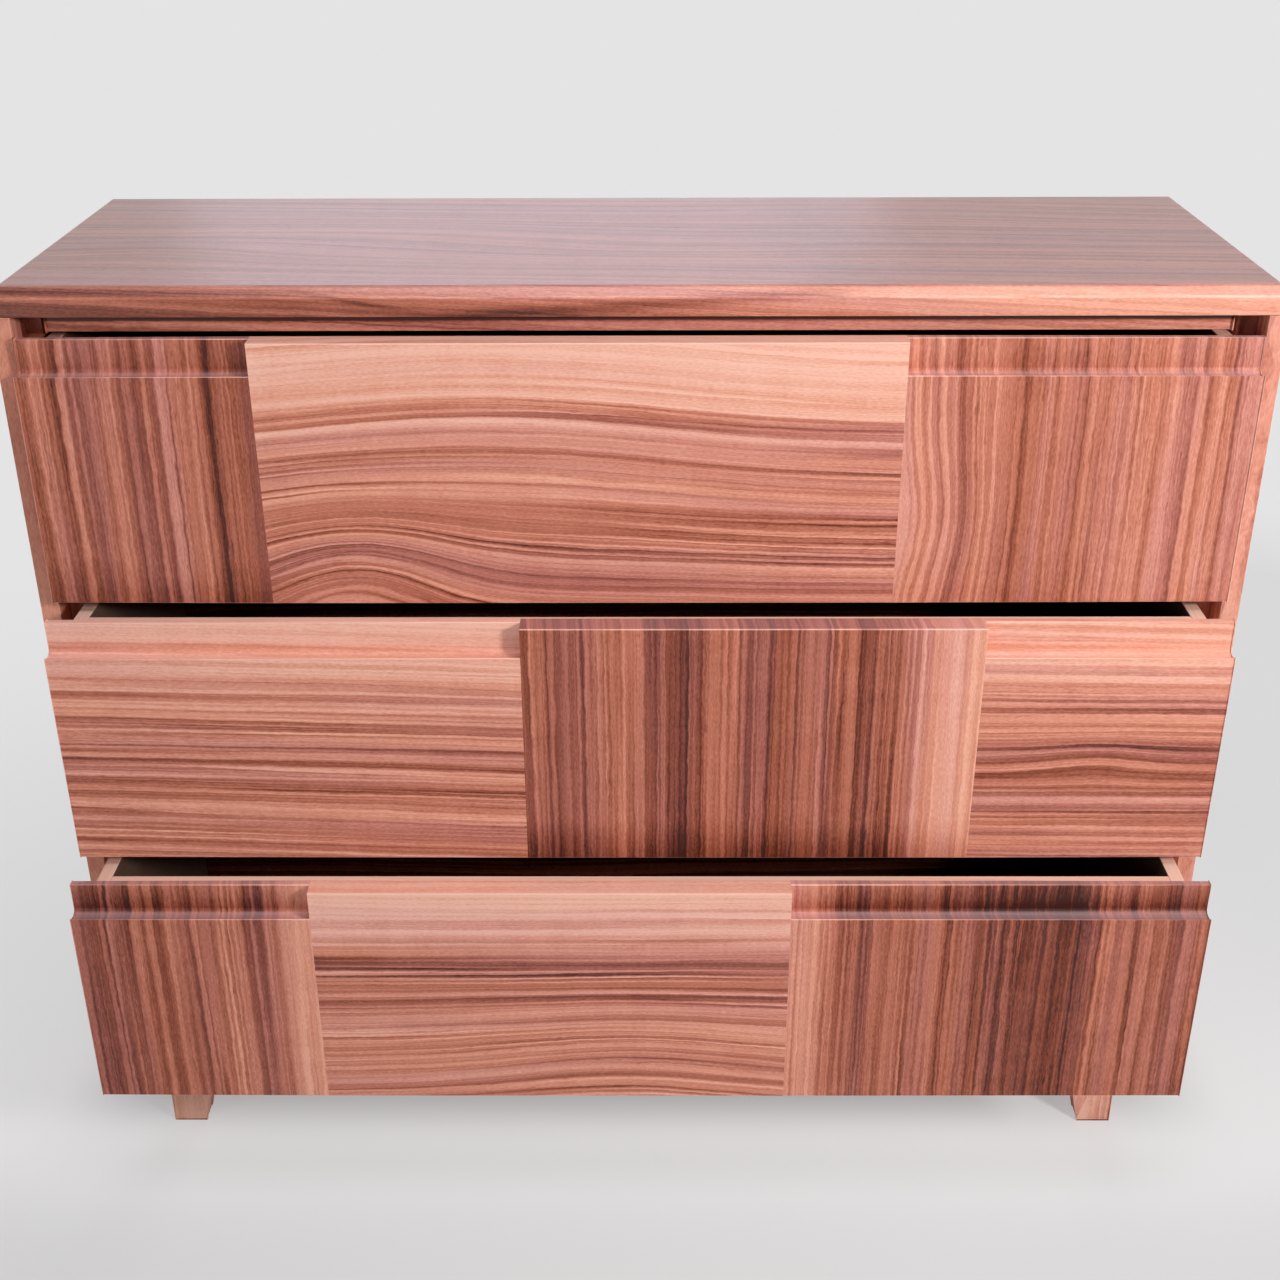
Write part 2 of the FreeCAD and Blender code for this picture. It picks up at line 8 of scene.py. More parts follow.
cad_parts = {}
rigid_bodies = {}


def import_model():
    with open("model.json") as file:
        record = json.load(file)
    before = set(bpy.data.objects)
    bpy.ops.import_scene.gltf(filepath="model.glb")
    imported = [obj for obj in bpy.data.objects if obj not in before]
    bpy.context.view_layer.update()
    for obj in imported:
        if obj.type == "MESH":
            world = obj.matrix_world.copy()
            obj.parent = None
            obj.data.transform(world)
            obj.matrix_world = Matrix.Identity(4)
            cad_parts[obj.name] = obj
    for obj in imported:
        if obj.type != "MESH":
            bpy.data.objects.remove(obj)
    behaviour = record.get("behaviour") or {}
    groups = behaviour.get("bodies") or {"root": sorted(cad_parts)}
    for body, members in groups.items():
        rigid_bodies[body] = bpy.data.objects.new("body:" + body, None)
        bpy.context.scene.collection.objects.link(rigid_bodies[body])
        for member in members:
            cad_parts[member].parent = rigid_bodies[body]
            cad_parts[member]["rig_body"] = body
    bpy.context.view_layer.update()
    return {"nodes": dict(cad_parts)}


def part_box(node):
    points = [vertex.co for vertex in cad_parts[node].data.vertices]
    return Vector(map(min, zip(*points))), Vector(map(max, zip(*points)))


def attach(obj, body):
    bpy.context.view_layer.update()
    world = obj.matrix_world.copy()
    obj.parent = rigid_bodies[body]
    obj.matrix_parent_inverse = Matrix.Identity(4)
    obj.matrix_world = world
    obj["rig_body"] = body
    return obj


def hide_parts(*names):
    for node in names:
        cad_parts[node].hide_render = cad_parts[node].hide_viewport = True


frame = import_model()
scene = bpy.context.scene
MM = 0.001

# Drawer fronts: finger pull, in millimetres
PULL_DEPTH = 16.0
PULL_HEIGHT = 32.0
PULL_GROOVE = 2.5
PULL_LIP = 2.0
PULL_COVE = 6.0

# Easing of the edges of boards, boxes, rail and feet, in millimetres
FACE_EASE = 1.1
TOP_EASE = 1.4
END_EASE = 0.9
CASE_EASE = 1.0
BOX_EASE = 1.2
BOX_END_EASE = 0.5
BOX_HIDDEN_EASE = 0.4
BOX_FLOOR_EASE = 0.3
GROOVE_EASE = 0.6
LIP_EASE = 0.98
FOOT_EASE = 1.2
RAIL_EASE = 1.0
RAIL_END_EASE = 2.0
SIDE_END_EASE = 0.6


# Camera

# Lens and sensor in millimetres, place in metres, turns in degrees
LENS = 47.135
SENSOR = 36.0
CAMERA_PLACE = (0.0111, -1.6707, 1.45065)
PITCH = 26.664
YAW = 0.383
ROLL = -0.217


def make_camera():
    """Camera at the photograph's viewing angle."""
    data = bpy.data.cameras.new("camera")
    data.lens = LENS
    data.sensor_width = SENSOR
    data.sensor_fit = "AUTO"
    camera = bpy.data.objects.new("camera", data)
    scene.collection.objects.link(camera)
    turn = (Matrix.Rotation(math.radians(YAW), 4, "Z")
            @ Matrix.Rotation(math.radians(90.0 - PITCH), 4, "X")
            @ Matrix.Rotation(math.radians(ROLL), 4, "Z"))
    camera.matrix_world = Matrix.Translation(CAMERA_PLACE) @ turn
    scene.camera = camera


# Shader arithmetic

class Wire:
    """Output of a shader node that can be used in arithmetic."""

    def __init__(self, tree, socket):
        self.tree = tree
        self.socket = socket

    def __add__(self, other):
        return self.math("ADD", self, other)

    def __sub__(self, other):
        return self.math("SUBTRACT", self, other)

    def __rsub__(self, other):
        return self.math("SUBTRACT", other, self)

    def __mul__(self, other):
        return self.math("MULTIPLY", self, other)

    def __truediv__(self, other):
        return self.math("DIVIDE", self, other)

    def math(self, operation, *values, clamp=False):
        """One Math node."""
        node = self.tree.nodes.new("ShaderNodeMath")
        node.operation = operation
        node.use_clamp = clamp
        for socket, value in zip(node.inputs, values):
            feed(self.tree, socket, value)
        return Wire(self.tree, node.outputs[0])

    def power(self, exponent):
        return self.math("POWER", self, exponent)

    def fract(self):
        return self.math("FRACT", self)

    def absolute(self):
        return self.math("ABSOLUTE", self)

    def clamped(self):
        return self.math("ADD", self, 0.0, clamp=True)

    def bell(self):
        """exp(-x * x)"""
        return self.math("EXPONENT", (self * self) * -1.0)

    def smooth(self, low, high, to_low=0.0, to_high=1.0):
        """Smooth step from low to high."""
        node = self.tree.nodes.new("ShaderNodeMapRange")
        node.interpolation_type = "SMOOTHSTEP"
        for socket, value in zip(node.inputs, (self, low, high, to_low, to_high)):
            feed(self.tree, socket, value)
        return Wire(self.tree, node.outputs[0])


def feed(tree, socket, value):
    """Link a wire to a socket, or set the socket to a number."""
    if isinstance(value, Wire):
        tree.links.new(value.socket, socket)
    else:
        socket.default_value = value


def vector(tree, x, y, z):
    """Vector from three wires or numbers."""
    node = tree.nodes.new("ShaderNodeCombineXYZ")
    for socket, value in zip(node.inputs, (x, y, z)):
        feed(tree, socket, value)
    return Wire(tree, node.outputs[0])


def noise(tree, x, y, z, detail=2.0, roughness=0.5):
    """Noise about zero, mostly from -0.5 to 0.5."""
    node = tree.nodes.new("ShaderNodeTexNoise")
    node.inputs["Scale"].default_value = 1.0
    node.inputs["Detail"].default_value = detail
    node.inputs["Roughness"].default_value = roughness
    feed(tree, node.inputs["Vector"], vector(tree, x, y, z))
    return Wire(tree, node.outputs[0]) - 0.5


def ramp(tree, fac, stops):
    """Colour ramp through (place, colour or grey) stops."""
    node = tree.nodes.new("ShaderNodeValToRGB")
    elements = node.color_ramp.elements
    while len(elements) < len(stops):
        elements.new(0.5)
    for element, (place, colour) in zip(elements, stops):
        element.position = place
        element.color = (*(colour if isinstance(colour, tuple) else (colour,) * 3), 1.0)
    feed(tree, node.inputs[0], fac)
    return Wire(tree, node.outputs[0])


def mix(tree, fac, first, second):
    """Mix of two colours."""
    node = tree.nodes.new("ShaderNodeMix")
    node.data_type = "RGBA"
    feed(tree, node.inputs[0], fac)
    for socket, value in ((node.inputs[6], first), (node.inputs[7], second)):
        feed(tree, socket, value if isinstance(value, Wire) else (*value, 1.0))
    return Wire(tree, node.outputs[2])


def linear(red, green, blue):
    """Colour written as 0 to 255, as the renderer wants it."""
    def one(value):
        share = value / 255.0
        return share / 12.92 if share <= 0.04045 else ((share + 0.055) / 1.055) ** 2.4
    return one(red), one(green), one(blue)


# Wood

# In the materials u, v and t run along the grain, across it and through the thickness, in millimetres; w is
# the place across the bent figure, and s moves the noise from one board to the next

# Colours of the striped hardwood from the lightest to the darkest, in its warmer and its cooler zones
WARM = (
    (0.00, linear(243, 190, 168)),
    (0.22, linear(226, 156, 130)),
    (0.45, linear(194, 119, 95)),
    (0.68, linear(150, 79, 55)),
    (0.86, linear(104, 43, 24)),
    (1.00, linear(58, 16, 6)),
)
COOL = (
    (0.00, linear(240, 187, 170)),
    (0.22, linear(219, 152, 135)),
    (0.45, linear(186, 115, 100)),
    (0.68, linear(140, 75, 62)),
    (0.86, linear(96, 43, 34)),
    (1.00, linear(54, 20, 14)),
)

# Painted reflection of the sky on the flat top, and on the small faces of the fronts that look up
TOP_SHEEN = linear(186, 150, 158)
UP_SHEEN = linear(215, 180, 181)

# Painted highlight on the arrises of the boards that have the painted reflection, and its share there
ARRIS_HIGHLIGHT = linear(252, 212, 196)
ARRIS_HIGHLIGHT_SHARE = 0.40

# Colours of the pale hardwood of the boxes, and the painted shade on the faces inside them with its share
PALE = (
    (0.00, linear(238, 198, 176)),
    (0.35, linear(226, 180, 156)),
    (0.70, linear(200, 146, 120)),
    (1.00, linear(158, 104, 78)),
)
INSIDE_SHADE = linear(58, 33, 24)
INSIDE_SHADE_SHARE = 0.88

# Length of the painted shade at a board's low end, and half the width of the change at an upper face, in
# millimetres
LOW_SHADE_LENGTH = 55.0
UPPER_SOFT = 1.3

# How far up a face looks where it begins to count as an upper face, and where it counts fully
FACING = (0.5, 0.95)

# Steps of the noise from one seed to the next
SEED_STEP = 17.3
PALE_SEED_STEP = 11.7


def start_material(name):
    """Empty node material with its shader."""
    material = bpy.data.materials.new(name)
    material.use_nodes = True
    tree = material.node_tree
    return material, tree, tree.nodes["Principled BSDF"]


def relief(tree, shader, height, strength, distance):
    """Fine relief of a surface."""
    bump = tree.nodes.new("ShaderNodeBump")
    bump.inputs["Strength"].default_value = strength
    bump.inputs["Distance"].default_value = distance
    feed(tree, bump.inputs["Height"], height)
    tree.links.new(bump.outputs[0], shader.inputs["Normal"])


def grain_axes(tree, axes, offset):
    """Places along the grain, across it and through the thickness, in millimetres from the low corner.

    With them come the share by which a face is an end of the grain, and the parts of its normal."""
    coordinates = tree.nodes.new("ShaderNodeTexCoord")
    split = tree.nodes.new("ShaderNodeSeparateXYZ")
    tree.links.new(coordinates.outputs["Object"], split.inputs[0])
    places = {axis: Wire(tree, split.outputs[i]) for i, axis in enumerate("xyz")}
    normal = tree.nodes.new("ShaderNodeSeparateXYZ")
    tree.links.new(coordinates.outputs["Normal"], normal.inputs[0])
    normals = {axis: Wire(tree, normal.outputs[i]) for i, axis in enumerate("xyz")}
    wires = [(places[axis] - start) * 1000.0 for axis, start in zip(axes, offset)]
    return wires, normals[axes[0]].absolute(), normals


def bent_grain(tree, u, v, t, s, tilt, meander, ragged, depth_slope, bumps):
    """Place across the figure in millimetres, bent over long, middle and short lengths."""
    w = v + t * depth_slope + u * tilt
    w = w + noise(tree, u / 620.0 + s, v / 150.0, t / 150.0 + s, 0.0) * (meander * 2.0)
    w = w + noise(tree, u / 160.0 + s, v / 45.0 + 3.1, t / 60.0, 1.0) * (meander * 0.6)
    w = w + noise(tree, u / 38.0, v / 13.0 + s, t / 22.0, 2.0) * 1.6
    w = w + noise(tree, u / 20.0 + s, v / 6.0, t / 14.0, 1.0) * ragged
    for along, reach, across, reach_across, rise in bumps:
        here = ((u - along) / reach).bell() * ((v - across) / reach_across).bell()
        w = w - here * rise
    return w


def growth_rings(tree, u, w, s, period, presence):
    """Rings that darken slowly and end at a dark line."""
    saw = (w / period + noise(tree, u / 2600.0, w / 30.0 + s, s + 4.0, 1.0) * 5.5 + s).fract()
    rings = (saw.smooth(0.28, 0.48) * 0.55 + saw.power(7.0) * 0.6) * saw.smooth(0.93, 1.0, 1.0, 0.0) - 0.33
    return rings * (presence * 0.75 + 0.25)


def striped_figure(tree, u, v, t, w, s, macro, ring, period, broad, lines, fine):
    """Darkness of the wood, and the thin lines, hairs and pores that its relief uses."""
    # Soft bands, then stripes and strips with clear edges
    wide = noise(tree, u / 1600.0 + s, w / 26.0, s, 0.0) * 2.0
    stripe = noise(tree, u / 1500.0 + s, w / 9.0 + 7.7, s + 1.0, 1.0).smooth(-0.04, 0.10) - 0.45
    strip = noise(tree, u / 800.0 + s, w / 3.8 + s, s + 13.0, 1.0).smooth(-0.03, 0.13) - 0.45
    # Where the figure is strong, and its rings, dark lines and dashes
    presence = noise(tree, u / 360.0 + s, w / 16.0, s + 9.0, 1.0).smooth(-0.08, 0.20)
    rings = growth_rings(tree, u, w, s, period, presence)
    line = noise(tree, u / 700.0 + s, w / 8.0 + 1.3, s + 6.0, 1.0).absolute().smooth(0.0, 0.045, 1.0, 0.0)
    dash = noise(tree, u / 16.0 + s, w / 2.4, s + 12.0, 1.0).smooth(0.10, 0.20) * presence
    # Fine grain: thin lines, hairs, flecks, cross curl and pores
    thin = noise(tree, u / 300.0 + s, w / 2.2, s + 2.0, 3.0, 0.7) * 2.0
    hair = noise(tree, u / 60.0, w / 0.8 + s, s + 5.0, 2.0, 0.6) * 2.0
    fleck = noise(tree, u / 5.0 + s, v / 1.3, t / 1.3, 1.0)
    curl = noise(tree, u / 24.0 + s, w / 70.0, t / 60.0, 2.0) * 0.10
    pores = noise(tree, u / 5.5, v / 0.34 + s, t / 0.34, 1.0).smooth(0.17, 0.26)
    # Everything together; the stripes weaken where the wood is light
    stripes = wide * (broad * 0.8) + stripe * (broad * 1.5) + strip * (broad * 0.9) + rings * ring
    stripes = stripes + line * (presence * 0.7 + 0.3) * lines + dash * 0.12 + thin * fine
    ease = (macro * 1.5 + 0.28).clamped()
    dark = macro + stripes * ease + hair * 0.08 + fleck * 0.30 + curl + pores * 0.09
    return dark, thin, hair, pores


def streak(u, t, along, deep, along_end, deep_end, width):
    """Share of a straight streak that crosses the thickness and fades at both ends."""
    middle = (u - along) * ((deep_end - deep) / (along_end - along)) + deep
    run = u.smooth(along - 40.0, along + 60.0) * u.smooth(along_end - 120.0, along_end, 1.0, 0.0)
    return ((t - middle) / width).bell() * run


def wear_highlight_and_hollow_shade(tree, u, v, t, s):
    """Share of wear and painted highlight on the arrises, and of painted shade in the hollows."""
    arris = tree.nodes.new("ShaderNodeAttribute")
    arris.attribute_name = "arris"
    edge = Wire(tree, arris.outputs["Fac"])
    worn_and_lit = edge.clamped() * noise(tree, u / 30.0, v / 30.0, t / 30.0 + s).smooth(-0.3, 0.25, 0.4, 1.0)
    return worn_and_lit, (edge * -1.0).clamped()


def striped_wood(name, axes, bands, seed, offset=(0.0, 0.0, 0.0), span=267.5, tilt=0.0, meander=10.0,
                 bumps=(), ring=0.20, period=15.0, broad=0.12, lines=0.10, fine=0.11, ragged=3.6,
                 depth_slope=0.10, streaks=(), upper_face=None, hollow_shade=0.05, wear_and_highlight=0.32, top_sheen=0.0, up_sheen=0.0,
                 gloss=0.36, coat=0.10, coat_rough=0.22, end_grain_and_shade=(0.75, 0.95, 0.04), low_shade=0.0):
    """Striped tropical hardwood under satin lacquer.

    bands is the darkness of the wood across the board, as (share, darkness); bumps raise the lines:
    (along, reach along, across, reach across, rise); streaks are dark lines through the thickness:
    (along, thickness, end along, end thickness, width, darkness); upper_face is the thickness where the
    upper face begins and its darkness; grime darkens the hollows with painted shade, and wear lightens the
    arrises for rubbing and with a painted highlight; veil is the share of a painted reflection on the upper
    face, and bloom the share of it on small faces that look up, whose arrises get a painted highlight too;
    sawn is where a slanting face begins to show end grain, where it shows it fully, and how much darker
    that is, which on the feet stands for painted shade; low_shade darkens the last of the board at its low
    end as painted shade."""
    material, tree, shader = start_material(name)
    (u, v, t), end, normals = grain_axes(tree, axes, offset)
    s = seed * SEED_STEP
    w = bent_grain(tree, u, v, t, s, tilt, meander, ragged, depth_slope, bumps)
    macro = ramp(tree, (w / span).clamped(), bands)
    if upper_face:
        start, darkness = upper_face
        above = t.smooth(start - UPPER_SOFT, start + UPPER_SOFT)
        macro = macro + (darkness - macro) * above
    dark, thin, hair, pores = striped_figure(tree, u, v, t, w, s, macro, ring, period, broad, lines, fine)
    for *line, darkness in streaks:
        dark = dark + streak(u, t, *line) * darkness
    slant, square, darker = end_grain_and_shade
    dark = dark + end.smooth(slant, square) * darker
    # Painted shade at the low end of the board
    if low_shade:
        dark = dark + u.smooth(0.0, LOW_SHADE_LENGTH, low_shade, 0.0)
    worn_and_lit, shaded_hollow = wear_highlight_and_hollow_shade(tree, u, v, t, s)
    # Arrises lighter for wear and a painted highlight; hollows darker with painted shade
    dark = (dark - worn_and_lit * wear_and_highlight + shaded_hollow * hollow_shade).clamped()
    cast = noise(tree, u / 700.0, w / 30.0 + s, s + 7.0, 1.0).smooth(-0.10, 0.20)
    colour = mix(tree, cast, ramp(tree, dark, WARM), ramp(tree, dark, COOL))
    # Painted reflection on the upper face of the top
    if top_sheen:
        colour = mix(tree, above * top_sheen, colour, TOP_SHEEN)
    # Painted reflection on the small faces that look up, and a painted highlight on their arrises
    if up_sheen:
        colour = mix(tree, normals["z"].smooth(*FACING) * up_sheen, colour, UP_SHEEN)
        colour = mix(tree, worn_and_lit * ARRIS_HIGHLIGHT_SHARE, colour, ARRIS_HIGHLIGHT)
    tree.links.new(colour.socket, shader.inputs["Base Color"])
    rough = dark * 0.10 + noise(tree, u / 45.0 + s, v / 14.0, t / 14.0, 3.0) * 0.10 + pores * 0.15 + gloss
    feed(tree, shader.inputs["Roughness"], rough)
    shader.inputs["IOR"].default_value = 1.45
    shader.inputs["Specular IOR Level"].default_value = 0.35
    shader.inputs["Coat Weight"].default_value = coat
    shader.inputs["Coat Roughness"].default_value = coat_rough
    skin = noise(tree, u / 9.0, v / 7.0 + s, t / 7.0, 2.0) * 0.3
    relief(tree, shader, skin - pores * 0.5 + thin * 0.25 + hair * 0.2, 0.30, 0.0003)
    return material


def pale_wood(name, axes, seed, inside):
    """Clear lacquered pale hardwood of the drawer boxes, with painted shade on the face that looks inside
    and painted light on the faces that look up.

    inside is the axis and the way that this face looks."""
    material, tree, shader = start_material(name)
    (u, v, t), end, normals = grain_axes(tree, axes, (0.0, 0.0, 0.0))
    up = normals["z"].smooth(*FACING)
    s = seed * PALE_SEED_STEP
    w = v + t * 0.8 + noise(tree, u / 400.0 + s, v / 90.0, t / 90.0, 1.0) * 26.0
    wide = noise(tree, u / 900.0, w / 24.0 + s, s, 2.0) * 0.9
    saw = (w / 7.0 + noise(tree, u / 1500.0, w / 50.0, s, 1.0) * 4.0 + s).fract().power(3.0) * 0.22
    thin = noise(tree, u / 160.0 + s, w / 1.4, s + 2.0, 3.0, 0.6) * 0.35
    flecks = noise(tree, u / 4.0, v / 0.4 + s, t / 0.4, 1.0).smooth(0.16, 0.26) * 0.16
    # Faces that look up are painted lighter, as painted light from above
    dark = (wide + saw + thin + flecks + 0.30 + end.smooth(0.75, 0.95) * 0.22 - up * 0.25).clamped()
    axis, way = inside
    # The face that looks inside gets painted shade
    shaded_inside = (normals[axis] * way).smooth(0.5, 0.9) * INSIDE_SHADE_SHARE
    colour = mix(tree, shaded_inside, ramp(tree, dark, PALE), INSIDE_SHADE)
    tree.links.new(colour.socket, shader.inputs["Base Color"])
    rough = noise(tree, u / 30.0 + s, v / 9.0, t / 9.0, 3.0) * 0.15 + flecks * 0.4 + 0.46
    feed(tree, shader.inputs["Roughness"], rough)
    shader.inputs["Coat Weight"].default_value = 0.12
    shader.inputs["Coat Roughness"].default_value = 0.35
    relief(tree, shader, thin + saw - flecks * 3.0, 0.30, 0.0004)
    return material


def sheet_steel(name, base, rough, scale):
    """Zinc plated steel: fine rolling marks, cloudy zinc and a few scuffs."""
    material, tree, shader = start_material(name)
    u, v, t = grain_axes(tree, "yxz", (0.0, 0.0, 0.0))[0]
    rolling = noise(tree, u / (60.0 * scale), v / (0.5 * scale), t / (0.5 * scale), 3.0, 0.6)
    cloud = noise(tree, u / (14.0 * scale), v / (9.0 * scale), t / (9.0 * scale), 3.0)
    scuff = noise(tree, u / (40.0 * scale), v / (2.0 * scale), t / (2.0 * scale), 4.0, 0.7)
    scuff = scuff.smooth(0.14, 0.24)
    colour = ramp(tree, (cloud * 0.9 + rolling * 0.5 + 0.5).clamped(), (
        (0.0, tuple(channel * 0.72 for channel in base)),
        (0.6, base),
        (1.0, tuple(min(1.0, channel * 1.2) for channel in base)),
    ))
    tree.links.new(colour.socket, shader.inputs["Base Color"])
    shader.inputs["Metallic"].default_value = 1.0
    feed(tree, shader.inputs["Roughness"], cloud * 0.2 + scuff * 0.18 + rough)
    relief(tree, shader, rolling - scuff * 0.4, 0.2, 0.0002)
    return material


# Boards

# Least number of steps in a rounded edge
ARC_STEPS = 4


def round_corners(outline):
    """Outline of (a, b, radius) corners as points with shares, the corners turned into arcs.

    The share is 1 on an outward arc, where the wood wears and a highlight is painted, and runs from -1 to 0
    along an inward one, where shade is painted."""
    count = len(outline)
    points = []
    for i, (a, b, radius) in enumerate(outline):
        here = Vector((a, b))
        before = Vector(outline[i - 1][:2]) - here
        after = Vector(outline[(i + 1) % count][:2]) - here
        if radius <= 0.0:
            points.append((here, 0.0))
            continue
        before.normalize()
        after.normalize()
        half = before.angle(after) / 2.0
        middle = here + (before + after).normalized() * (radius / math.sin(half))
        first = here + before * (radius / math.tan(half)) - middle
        last = here + after * (radius / math.tan(half)) - middle
        sweep = first.angle_signed(last)
        steps = max(ARC_STEPS, int(radius * 1.2))
        convex = before.cross(after) < 0.0
        for k in range(steps + 1):
            turn = Matrix.Rotation(-sweep * k / steps, 2)
            share = (1.0 if 0 < k < steps else 0.0) if convex else -math.sqrt(1.0 - k / steps)
            points.append((middle + turn @ first, share))
    return points


def inset(points, distance):
    """Outline moved inwards by a distance; the outline runs counter-clockwise."""
    count = len(points)
    moved = []
    for i in range(count):
        here = points[i]
        one = (here - points[i - 1]).normalized()
        two = (points[(i + 1) % count] - here).normalized()
        normal_one = Vector((-one.y, one.x))
        normal_two = Vector((-two.y, two.x))
        total = normal_one + normal_two
        moved.append(here + total * (distance / max(0.3, 1.0 + normal_one.dot(normal_two))))
    return moved


def prism(name, axis, outline, low, high, low_ease=END_EASE, high_ease=END_EASE):
    """Board with its outline in the two other axes, in millimetres, running along axis from low to high.

    The mesh is made about its own low corner, so that its grain is measured from there. The attribute
    arris holds the shares of the outline, and is 1 along the easing of the ends."""
    rounded = round_corners(outline)
    points = [point for point, share in rounded]
    shares = [share for point, share in rounded]
    rings = []
    for at, ease, way in ((low, low_ease, 1.0), (high, high_ease, -1.0)):
        steps = ARC_STEPS if ease > 0.0 else 0
        stack = []
        for k in range(steps + 1):
            angle = math.pi / 2.0 * k / steps if steps else 0.0
            along = at + way * ease * (1.0 - math.sin(angle))
            worn_and_lit = 1.0 if 0 < k < steps else 0.0
            loop = inset(points, ease * (1.0 - math.cos(angle))) if ease > 0.0 else points
            stack.append((along, loop, worn_and_lit))
        rings += stack if way > 0.0 else stack[::-1]
    mesh = bmesh.new()
    corner = Vector([min(p[i] for p in points) for i in range(2)])
    order = {"x": (2, 0, 1), "y": (0, 2, 1), "z": (0, 1, 2)}[axis]
    layer = mesh.verts.layers.float.new("arris")
    loops = []
    for along, loop, worn_and_lit in rings:
        row = []
        for point, share in zip(loop, shares):
            values = (point.x - corner.x, point.y - corner.y, along - low)
            vert = mesh.verts.new([values[order[i]] * MM for i in range(3)])
            vert[layer] = worn_and_lit or share
            row.append(vert)
        loops.append(row)
    count = len(points)
    for one, two in zip(loops, loops[1:]):
        for i in range(count):
            j = (i + 1) % count
            mesh.faces.new((one[i], one[j], two[j], two[i]))
    caps = [mesh.faces.new(loops[0][::-1]), mesh.faces.new(loops[-1])]
    for cap, ease in zip(caps, (low_ease, high_ease)):
        if ease <= 0.0:
            for edge in cap.edges:
                edge.smooth = False
    place = (corner.x, corner.y, low)
    return finished_piece(name, mesh, [place[order[i]] * MM for i in range(3)])


def finished_piece(name, mesh, place):
    """Smooth-shaded object made from a mesh under construction, at its place in metres."""
    bmesh.ops.recalc_face_normals(mesh, faces=mesh.faces)
    data = bpy.data.meshes.new(name)
    mesh.to_mesh(data)
    mesh.free()
    for polygon in data.polygons:
        polygon.use_smooth = True
    piece = bpy.data.objects.new(name, data)
    scene.collection.objects.link(piece)
    piece.location = place
    weighted = piece.modifiers.new("normals", "WEIGHTED_NORMAL")
    weighted.weight = 100
    weighted.keep_sharp = True
    return piece


def dress(piece, node, material):
    """Give a board its material and body, in place of its CAD node."""
    piece.data.materials.append(material)
    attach(piece, frame["nodes"][node]["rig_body"])
    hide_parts(node)
    return piece


def corners(node):
    """Low and high corner of a CAD node in millimetres."""
    low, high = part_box(node)
    return [value / MM for value in low], [value / MM for value in high]


def rectangle(low_a, low_b, high_a, high_b, ease):
    """Rectangular outline, counter-clockwise, with one easing or four from the low corner."""
    eases = ease if isinstance(ease, tuple) else (ease,) * 4
    spots = ((low_a, low_b), (high_a, low_b), (high_a, high_b), (low_a, high_b))
    return [(a, b, radius) for (a, b), radius in zip(spots, eases)]


def plain_board(node, axis, material, ease=CASE_EASE, end_ease=CASE_EASE):
    """Rectangular board with eased edges, as large as its CAD node."""
    low, high = corners(node)
    index = "xyz".index(axis)
    a, b = [i for i in range(3) if i != index]
    outline = rectangle(low[a], low[b], high[a], high[b], ease)
    piece = prism(node + "_board", axis, outline, low[index], high[index], end_ease, end_ease)
    return dress(piece, node, material)


# Figure of each front board

